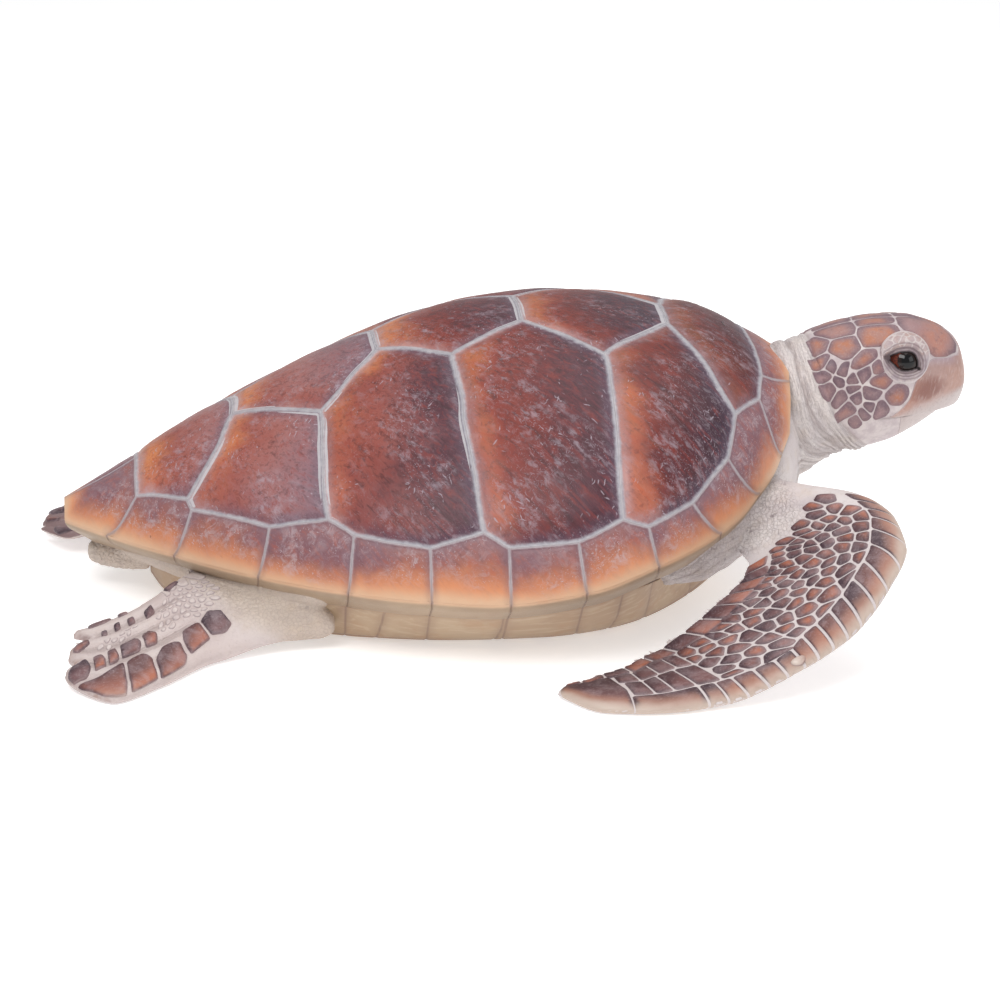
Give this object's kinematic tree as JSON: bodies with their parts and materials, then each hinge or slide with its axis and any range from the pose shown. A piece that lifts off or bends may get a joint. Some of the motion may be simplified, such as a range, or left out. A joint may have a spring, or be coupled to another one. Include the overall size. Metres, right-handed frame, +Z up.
{
  "type": "life-size green sea turtle display model",
  "caption": "Still painted resin model of a green sea turtle, resting on its belly with spread flippers and raised head.",
  "frame": {"origin": "middle of the flat on which the plastron rests, at floor level, under the middle of the shell", "axes": "+X toward the head, +Y toward the turtle's left, +Z up"},
  "size_m": [0.9275, 0.768, 0.278],
  "materials": {
    "carapace_scutes": "painted resin, satin, red-brown scutes with grey dry-brushed streaks and pale seams",
    "plastron_plates": "painted resin, satin cream with ochre stains",
    "skin": "painted resin, matt grey-beige, finely wrinkled",
    "head_skin": "painted resin, satin, orange-brown scales with pale grey seams",
    "beak_horn": "painted resin, satin beige",
    "flipper_skin": "painted resin, satin, dark plum-brown scales with pale gaps",
    "eye_glaze": "high gloss black-brown",
    "claw_horn": "painted resin, satin pale horn"
  },
  "bodies": {
    "root": {"carapace": "carapace_scutes", "plastron": "plastron_plates", "trunk": "skin", "neck": "skin", "head": "head_skin", "lower_jaw": "beak_horn", "tail": "skin", "front_flipper_right": "flipper_skin", "front_flipper_left": "flipper_skin", "hind_flipper_right": "flipper_skin", "hind_flipper_left": "flipper_skin", "eye_right": "eye_glaze", "eye_left": "eye_glaze", "claw_right": "claw_horn", "claw_left": "claw_horn"}
  },
  "joints": []
}
